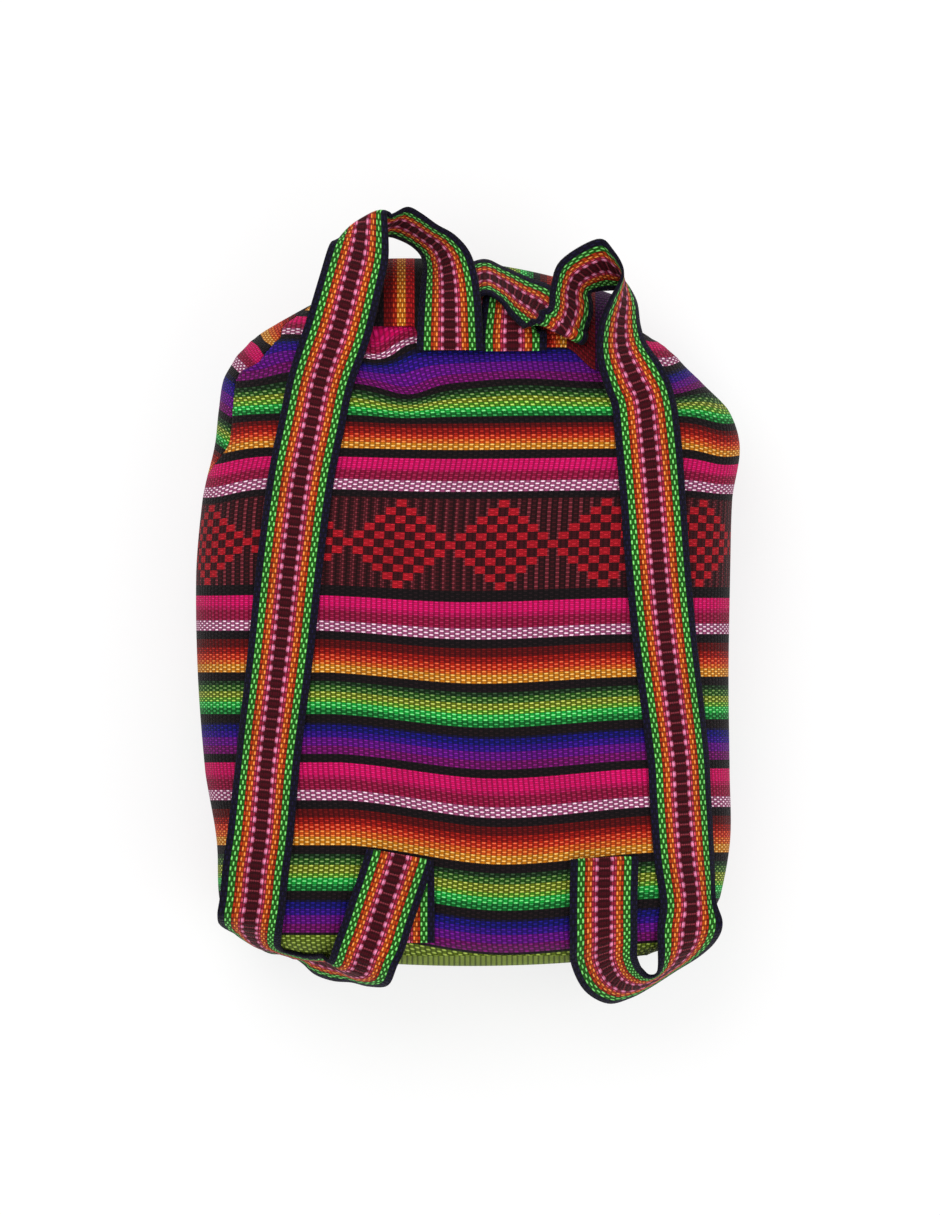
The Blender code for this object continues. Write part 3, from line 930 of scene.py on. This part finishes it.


# Warp threads over and under the weft. Inputs in metres; Over is the mask of the threads
# that lie on top, Row the middle of each thread, Height the relief, Shade the painted shade
# in the gaps between the ribs and at the sides of each thread.
def weaveGroup():
    group = bpy.data.node_groups.new("warpFacedWeave", "ShaderNodeTree")
    inputs = {"Along": 0.0, "Across": 0.0, "Rib": threads["rib"], "Thread": threads["thread"]}
    for name, value in inputs.items():
        socket = group.interface.new_socket(name, in_out="INPUT", socket_type="NodeSocketFloat")
        socket.default_value = value
    for name in ("Over", "Row", "Height", "Shade"):
        group.interface.new_socket(name, in_out="OUTPUT", socket_type="NodeSocketFloat")
    g = Graph(group)
    source = g.add("NodeGroupInput").outputs
    target = g.add("NodeGroupOutput").inputs
    rib = g.math("DIVIDE", source["Along"], source["Rib"])
    thread = g.math("DIVIDE", source["Across"], source["Thread"])
    row = g.math("FLOOR", thread)
    inThread = g.math("FRACT", thread)
    roundness = g.math("SINE", g.times(inThread, math.pi))
    phase = g.times(g.math("ADD", rib, row), math.pi)
    wave = g.math("COSINE", phase)
    over = g.between(wave, *threads["overEnds"])
    over = g.times(over, g.between(roundness, *threads["overSides"]))
    gap = g.math("ABSOLUTE", g.math("SINE", g.times(rib, math.pi)))
    low = g.times(g.math("SUBTRACT", 1.0, gap), threads["underHeight"])
    low = g.times(low, g.math("MULTIPLY_ADD", roundness, 0.5, 0.5))
    # Painted shade: darker in the gaps between the ribs and at the sides of each thread.
    shade = g.math("MULTIPLY_ADD", g.between(gap, *threads["gapEdge"]), -threads["gapShade"], 1.0)
    sideShade = g.math("MULTIPLY_ADD", roundness, threads["sideShade"], 1.0 - threads["sideShade"])
    g.feed(target["Over"], over)
    g.feed(target["Row"], g.times(g.math("ADD", row, 0.5), source["Thread"]))
    g.feed(target["Height"], g.math("ADD", low, g.times(over, threads["overHeight"])))
    g.feed(target["Shade"], g.times(shade, sideShade))
    return group


weave = weaveGroup()

# The cloth's stripe sets: share of the set's width, then the screen colours of the threads,
# first of the ones that lie over and then of the ones under. The over colour is lighter, partly
# a painted highlight on the raised floats, and the under colour darker, partly painted shade.
blackSet = ((1.0, (30, 16, 20), (12, 5, 8)),)
blueSet = (
    (0.10, (18, 12, 60), (8, 4, 34)),
    (0.17, (28, 20, 136), (10, 6, 84)),
    (0.19, (66, 18, 156), (36, 4, 108)),
    (0.30, (122, 20, 152), (82, 0, 110)),
    (0.24, (138, 20, 124), (92, 0, 80)),
)
greenSet = (
    (0.12, (52, 80, 50), (4, 36, 4)),
    (0.18, (118, 156, 84), (22, 70, 4)),
    (0.20, (198, 212, 98), (88, 106, 0)),
    (0.13, (176, 224, 96), (58, 122, 10)),
    (0.22, (118, 236, 134), (0, 148, 46)),
    (0.15, (56, 166, 84), (0, 92, 30)),
)
redSet = (
    (0.22, (104, 8, 12), (78, 0, 2)),
    (0.18, (176, 34, 24), (124, 4, 0)),
    (0.20, (240, 96, 60), (168, 24, 0)),
    (0.17, (250, 140, 66), (186, 62, 0)),
    (0.23, (255, 194, 104), (188, 108, 0)),
)
pinkSet = (
    (0.30, (222, 24, 112), (200, 0, 86)),
    (0.12, (196, 30, 100), (168, 0, 70)),
    (0.28, (170, 34, 80), (130, 0, 48)),
    (0.30, (255, 216, 234), (150, 66, 108)),
)
maroonSet = ((1.0, (66, 14, 22), (38, 5, 9)),)
oliveSet = ((0.04, (30, 16, 20), (12, 5, 8)), (0.96, (170, 192, 84), (84, 104, 8)))

# The stripes past the back seam, down to the base and up into the head: set and millimetres.
stripesBelow = [
    (blueSet, 22.1), (blackSet, 4.1), (greenSet, 14.5), (blackSet, 4.1), (redSet, 15.1),
    (blackSet, 5.8), (pinkSet, 18.6), (blackSet, 4.6), (maroonSet, 53.4), (blackSet, 6.4),
    (pinkSet, 21.5), (blackSet, 5.8), (redSet, 19.7), (blackSet, 5.2), (greenSet, 20.3),
    (blackSet, 5.2), (blueSet, 19.2), (blackSet, 5.8), (pinkSet, 23.2), (blackSet, 4.6),
    (redSet, 21.5), (blackSet, 5.8), (greenSet, 21.5), (blackSet, 4.6), (blueSet, 19.4),
    (oliveSet, 30.0),
]
stripesAbove = [
    (blackSet, 3.6), (pinkSet, 15.5), (blackSet, 5.0), (redSet, 16.0), (blackSet, 5.0),
    (greenSet, 15.0), (blackSet, 50.0),
]

# As above, each over colour is partly a painted highlight and each under colour partly painted shade.
flapRedSet = (
    (0.34, (128, 14, 16), (96, 0, 2)),
    (0.24, (206, 62, 30), (140, 14, 0)),
    (0.42, (255, 178, 80), (186, 92, 0)),
)
crimsonSet = ((1.0, (196, 34, 36), (146, 6, 14)),)
# Painted shade: a red and a purple stripe darkened where the flap lies in shadow at the right belt's
# loop.
paintedShadeRedSet = ((1.0, (120, 12, 24), (90, 0, 10)),)
paintedShadePurpleSet = ((1.0, (72, 12, 78), (44, 0, 50)),)

# The flap's stripes run the other way: from its left edge, set and millimetres.
flapStripes = [
    (blackSet, 15.5), (flapRedSet, 12.8), (crimsonSet, 4.6), (blackSet, 5.0), (blueSet, 18.0),
    (blackSet, 4.0), (pinkSet, 18.0), (blackSet, 4.0), (greenSet, 20.0), (blackSet, 4.0),
    # The last two stripes are the red and purple darkened as painted shade.
    (redSet, 16.0), (paintedShadeRedSet, 16.0), (paintedShadePurpleSet, 20.0),
]


def stripeEdges(stripes, start, layer):  # where each colour starts, one after the other
    edges = []
    for group, width in stripes:
        for stripe in group:
            edges.append((round(start, 9), stripe[layer]))
            start += 0.001 * width * stripe[0]
    return edges


# One ramp holds too few colours, so there is one between each two limits.
clothLimits = (-0.37, -0.26, -0.16, -0.07, 0.0, 0.10)
flapLimits = (flap["left"], 0.01, flap["right"])


def layerColour(g, row, edges, limits):
    colour = None
    for low, high in zip(limits, limits[1:]):
        first = [edge for edge in edges if edge[0] <= low][-1:]
        rest = [edge for edge in edges if low < edge[0] < high]
        stops = [(0.0, linear(edge[1])) for edge in first]
        stops += [((place - low) / (high - low), linear(shown)) for place, shown in rest]
        spot = g.math("DIVIDE", g.math("SUBTRACT", row, low), high - low)
        piece = g.ramp(spot, stops)
        if colour is None:
            colour = piece
        else:
            colour = g.mix(g.math("GREATER_THAN", row, low), colour, piece)
    return colour


def stripeColour(g, woven, stripes, start, limits):  # of the threads over and of those under
    row = woven.outputs["Row"]
    over = layerColour(g, row, stripeEdges(stripes, start, 1), limits)
    under = layerColour(g, row, stripeEdges(stripes, start, 2), limits)
    return g.mix(woven.outputs["Over"], under, over)


diamonds = {
    "middle": -0.1155,  # from the back seam down to the middle of the band
    "column": 6.008e-3,
    "row": 4.80e-3,
    "centre": 0.0218,  # a diamond's middle, to the right of the cloth's middle
    "cells": 5.0,  # from a diamond's middle to its tip
    "line": 0.34,  # width of a rose line, as a share of a cell
    "blockHigh": 0.455,  # half the height of a bright block, as a share of its row
    "blockRelief": 0.5,
    "blockShade": 0.88,
    # Over colours partly a painted highlight on the floats, under colours partly painted shade.
    "roseColours": ((136, 50, 62), (82, 20, 28)),
    "redColours": ((190, 28, 42), (150, 8, 24)),
    "darkColour": (58, 6, 14),
}


# The bright blocks of the diamonds, the rose lines beside them and the dark cells in them.
def diamondMasks(g, u, v):
    across = g.math("DIVIDE", g.math("SUBTRACT", u, diamonds["centre"]), diamonds["column"])
    across = g.math("ADD", across, 0.5)
    up = g.math("DIVIDE", g.math("SUBTRACT", v, diamonds["middle"]), diamonds["row"])
    up = g.math("ADD", up, 0.5)
    cell = g.math("WRAP", g.math("FLOOR", across), diamonds["cells"], -diamonds["cells"])
    cellAway = g.math("ABSOLUTE", cell)
    rowAway = g.math("ABSOLUTE", g.math("FLOOR", up))
    total = g.math("ADD", cellAway, rowAway)
    inside = g.math("LESS_THAN", total, diamonds["cells"] + 0.5)
    odd = g.math("GREATER_THAN", g.math("MODULO", total, 2.0), 0.5)
    inRow = g.math("ABSOLUTE", g.math("SUBTRACT", g.math("FRACT", up), 0.5))
    solid = g.math("LESS_THAN", inRow, diamonds["blockHigh"])
    block = g.times(g.times(inside, odd), solid)
    dark = g.times(inside, g.math("SUBTRACT", 1.0, odd))
    inCell = g.math("FRACT", g.math("ADD", across, 0.5))
    edgeAway = g.math("ABSOLUTE", g.math("SUBTRACT", inCell, 0.5))
    line = g.math("LESS_THAN", edgeAway, 0.5 * diamonds["line"])
    inBand = g.math("LESS_THAN", rowAway, diamonds["cells"] + 0.5)
    line = g.times(line, inBand)
    line = g.times(line, g.math("SUBTRACT", 1.0, inside))
    return block, line, dark


finish = {
    "roughness": 0.8,
    "sheen": 0.02,
    "specular": 0.12,
    "relief": 0.0009,
    "patchScale": 34.0,  # soft patches of slightly lighter and darker cloth
    "patchShade": 0.5,
}


def finishWeave(g, shader, colour, paintedShade, height):  # shading that all the woven pieces share
    # The colour is multiplied by painted shade from the weave's gaps and thread sides.
    colour = g.mix(1.0, colour, paintedShade, "MULTIPLY")
    coordinates = g.add("ShaderNodeTexCoord").outputs["Object"]
    soft = g.add("ShaderNodeTexNoise")
    g.feed(soft.inputs["Vector"], coordinates)
    soft.inputs["Scale"].default_value = finish["patchScale"]
    depth = finish["patchShade"]
    shade = g.math("MULTIPLY_ADD", soft.outputs[0], depth, 1.0 - 0.5 * depth)
    colour = g.mix(1.0, colour, shade, "MULTIPLY")
    g.feed(shader.inputs["Base Color"], colour)
    shader.inputs["Roughness"].default_value = finish["roughness"]
    shader.inputs["Sheen Weight"].default_value = finish["sheen"]
    shader.inputs["Specular IOR Level"].default_value = finish["specular"]
    relief = g.add("ShaderNodeBump")
    relief.inputs["Strength"].default_value = 1.0
    relief.inputs["Distance"].default_value = finish["relief"]
    g.feed(relief.inputs["Height"], height)
    g.feed(shader.inputs["Normal"], relief.outputs[0])


def startMaterial(name):
    material = bpy.data.materials.new(name)
    material.use_nodes = True
    g = Graph(material.node_tree)
    shader = material.node_tree.nodes["Principled BSDF"]
    place = g.add("ShaderNodeUVMap", uv_map="cloth")
    split = g.add("ShaderNodeSeparateXYZ")
    g.feed(split.inputs[0], place.outputs[0])
    woven = g.add("ShaderNodeGroup", node_tree=weave)
    return material, g, shader, split.outputs[0], split.outputs[1], woven


# The over colour is partly a painted highlight, the under colour partly painted shade.
def twoTone(g, woven, colours):  # one colour for the threads that lie over, one for the others
    over, under = colours
    return g.mix(woven.outputs["Over"], linear(under), linear(over))


def clothMaterial(name, patternShift):
    material, g, shader, u, v, woven = startMaterial(name)
    v = g.math("ADD", v, patternShift)
    g.feed(woven.inputs["Along"], u)
    g.feed(woven.inputs["Across"], v)
    upward = [(group[::-1], width) for group, width in stripesBelow[::-1] + stripesAbove]
    start = -0.001 * sum(width for _, width in stripesBelow)
    colour = stripeColour(g, woven, upward, start, clothLimits)
    block, line, dark = diamondMasks(g, u, v)
    rose = twoTone(g, woven, diamonds["roseColours"])
    red = twoTone(g, woven, diamonds["redColours"])
    colour = g.mix(line, colour, rose)
    colour = g.mix(dark, colour, linear(diamonds["darkColour"]))
    colour = g.mix(block, colour, red)
    height = g.math("ADD", woven.outputs["Height"], g.times(block, diamonds["blockRelief"]))
    # Painted shade from the weave's gaps, weaker inside the bright blocks.
    paintedShade = g.math("MAXIMUM", woven.outputs["Shade"], g.times(block, diamonds["blockShade"]))
    finishWeave(g, shader, colour, paintedShade, height)
    return material


def flapMaterial(name):
    material, g, shader, u, v, woven = startMaterial(name)
    g.feed(woven.inputs["Along"], v)
    g.feed(woven.inputs["Across"], u)
    colour = stripeColour(g, woven, flapStripes, flap["left"], flapLimits)
    finishWeave(g, shader, colour, woven.outputs["Shade"], woven.outputs["Height"])
    return material


# Over colours lighter partly as a painted highlight on the floats, under ones darker partly as
# painted shade.
beltStripes = [  # share of the half width from the middle, over colour, under colour
    (0.0, (70, 2, 16), (44, 0, 8)),
    (0.160, (150, 30, 60), (96, 8, 30)),
    (0.275, (226, 84, 104), (150, 24, 50)),
    (0.345, (255, 152, 70), (176, 62, 0)),
    (0.52, (196, 56, 20), (124, 22, 0)),
    (0.60, (128, 226, 116), (26, 92, 12)),
    (0.80, (22, 16, 50), (10, 6, 26)),
]

# The belt's middle: maroon blocks between thin bars, with a row of pink beads to each side.
beltPattern = {
    "thread": 0.0014,
    "bar": 0.00592,  # from one bar to the next
    "barEdge": (0.82, 0.99),
    "barShare": 0.8,
    "barColour": (136, 50, 62),
    "block": 0.0032,
    "bulge": 0.0006,
    "blockColour": (66, 0, 14),
    "blockRelief": 0.7,
    "blockEdge": (0.3, 1.0),
    "bead": 0.0044,
    "beadHalf": 0.0011,
    "beadSides": (0.0, 0.45),
    "beadEnds": (-0.6, 0.15),
    "beadColour": (246, 142, 184),
    "beadRelief": 0.6,
}


def beltMaterial(name):
    material, g, shader, u, v, woven = startMaterial(name)
    woven.inputs["Thread"].default_value = beltPattern["thread"]
    woven.inputs["Rib"].default_value = 0.5 * beltPattern["bar"]
    away = g.math("ABSOLUTE", u)
    g.feed(woven.inputs["Along"], v)
    g.feed(woven.inputs["Across"], away)
    over, row = woven.outputs["Over"], woven.outputs["Row"]
    place = g.math("DIVIDE", row, 0.5 * belt["width"])
    bright = g.ramp(place, [(start, linear(first)) for start, first, _ in beltStripes])
    deep = g.ramp(place, [(start, linear(second)) for start, _, second in beltStripes])
    colour = g.mix(over, deep, bright)
    beat = g.math("COSINE", g.times(v, 2.0 * math.pi / beltPattern["bar"]))
    blockEdge = g.math("MULTIPLY_ADD", beat, -beltPattern["bulge"], beltPattern["block"])
    inBlock = g.math("LESS_THAN", away, blockEdge)
    colour = g.mix(inBlock, colour, linear(beltPattern["blockColour"]))
    bar = g.times(g.between(beat, *beltPattern["barEdge"]), inBlock)
    bar = g.times(bar, beltPattern["barShare"])
    colour = g.mix(bar, colour, linear(beltPattern["barColour"]))
    beadAway = g.math("ABSOLUTE", g.math("SUBTRACT", away, beltPattern["bead"]))
    beadAcross = g.math("SUBTRACT", 1.0, g.math("DIVIDE", beadAway, beltPattern["beadHalf"]))
    bead = g.between(beadAcross, *beltPattern["beadSides"])
    bead = g.times(bead, g.between(beat, *beltPattern["beadEnds"]))
    colour = g.mix(bead, colour, linear(beltPattern["beadColour"]))
    height = g.math("MULTIPLY_ADD", bead, beltPattern["beadRelief"], woven.outputs["Height"])
    barFree = g.math("SUBTRACT", 1.0, g.between(beat, *beltPattern["blockEdge"]))
    block = g.times(inBlock, barFree)
    height = g.math("MULTIPLY_ADD", block, beltPattern["blockRelief"], height)
    finishWeave(g, shader, colour, woven.outputs["Shade"], height)
    return material


# The over colour is partly a painted highlight, the under colour partly painted shade.
baseColours = ((172, 194, 84), (84, 104, 8))


def baseMaterial(name):
    material, g, shader, u, v, woven = startMaterial(name)
    g.feed(woven.inputs["Along"], u)
    g.feed(woven.inputs["Across"], v)
    colour = twoTone(g, woven, baseColours)
    finishWeave(g, shader, colour, woven.outputs["Shade"], woven.outputs["Height"])
    return material


print("stage: finishes")
finishes = [
    (backPanel, clothMaterial("stripedCloth", 0.0), "back_panel", "striped_cloth"),
    (frontPanel, clothMaterial("frontCloth", bag["frontDrop"]), "front_panel", "striped_cloth_front"),
    (basePanel, baseMaterial("oliveCloth"), "base_panel", "base_cloth"),
    (flapSheet, flapMaterial("flapCloth"), "flap", "flap_cloth"),
    (leftBelt, beltMaterial("wovenBeltLeft"), "strap_left", "woven_belt"),
    (rightBelt, beltMaterial("wovenBeltRight"), "strap_right", "woven_belt_right"),
]
for piece, material, node, slot in finishes:
    piece.data.materials.append(material)
    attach(piece, "root")
    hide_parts(node)


# Stage 5: floor, light and camera

studio = {
    "floorSize": 12.0,
    "floorDrop": 0.0002,
    "floorColour": (0.93, 0.93, 0.93, 1.0),
    "floorRoughness": 0.9,
    "paper": 0.72,  # share of plain white in the floor that the camera sees
    "lampSize": 1.6,
    "lampPower": 20.0,
    "keyPlace": (-0.5, 0.9, 1.7),
    "fillPlace": (0.9, -0.8, 1.5),
    "fillShare": 0.6,
    "sky": 0.72,
    "skyColour": (1.0, 1.0, 1.0, 1.0),
    "cameraHeight": 2.0,
    "cameraReach": 20.0,
}


def makeFloor():
    floor = bmesh.new()
    bmesh.ops.create_grid(floor, x_segments=1, y_segments=1, size=0.5 * studio["floorSize"])
    mesh = bpy.data.meshes.new("floor")
    floor.to_mesh(mesh)
    floor.free()
    piece = bpy.data.objects.new("floor", mesh)
    piece.location.z = -studio["floorDrop"]
    bpy.context.scene.collection.objects.link(piece)
    material = bpy.data.materials.new("paleFloor")
    material.use_nodes = True
    g = Graph(material.node_tree)
    shader = material.node_tree.nodes["Principled BSDF"]
    shader.inputs["Base Color"].default_value = studio["floorColour"]
    shader.inputs["Roughness"].default_value = studio["floorRoughness"]
    white = g.add("ShaderNodeEmission")  # seen by the camera only, so that the paper looks white
    seen = g.times(g.add("ShaderNodeLightPath").outputs["Is Camera Ray"], studio["paper"])
    blend = g.add("ShaderNodeMixShader")
    g.feed(blend.inputs[0], seen)
    g.feed(blend.inputs[1], shader.outputs[0])
    g.feed(blend.inputs[2], white.outputs[0])
    g.feed(material.node_tree.nodes["Material Output"].inputs["Surface"], blend.outputs[0])
    piece.data.materials.append(material)


def makeLamp(name, place, power):
    light = bpy.data.lights.new(name, "AREA")
    light.shape = "DISK"
    light.size = studio["lampSize"]
    light.energy = power
    lamp = bpy.data.objects.new(name, light)
    lamp.location = place
    lamp.rotation_euler = (-Vector(place)).to_track_quat("-Z", "Y").to_euler()
    bpy.context.scene.collection.objects.link(lamp)


print("stage: floor, light and camera")
makeFloor()
makeLamp("keyLamp", studio["keyPlace"], studio["lampPower"])
makeLamp("fillLamp", studio["fillPlace"], studio["fillShare"] * studio["lampPower"])

world = bpy.data.worlds.new("paleRoom")
bpy.context.scene.world = world
world.use_nodes = True
world.node_tree.nodes["Background"].inputs[0].default_value = studio["skyColour"]
world.node_tree.nodes["Background"].inputs[1].default_value = studio["sky"]

camera = bpy.data.cameras.new("viewFromAbove")
camera.type = "ORTHO"
camera.ortho_scale = grid["frameHeight"] * grid["square"]
camera.clip_end = studio["cameraReach"]
cameraObject = bpy.data.objects.new("viewFromAbove", camera)
middleX, middleY = gridPoint(0.5 * grid["frameWidth"], 0.5 * grid["frameHeight"])
cameraObject.location = (middleX, middleY, studio["cameraHeight"])
bpy.context.scene.collection.objects.link(cameraObject)
bpy.context.scene.camera = cameraObject
bpy.context.scene.view_settings.view_transform = "Standard"

bpy.context.view_layer.update()
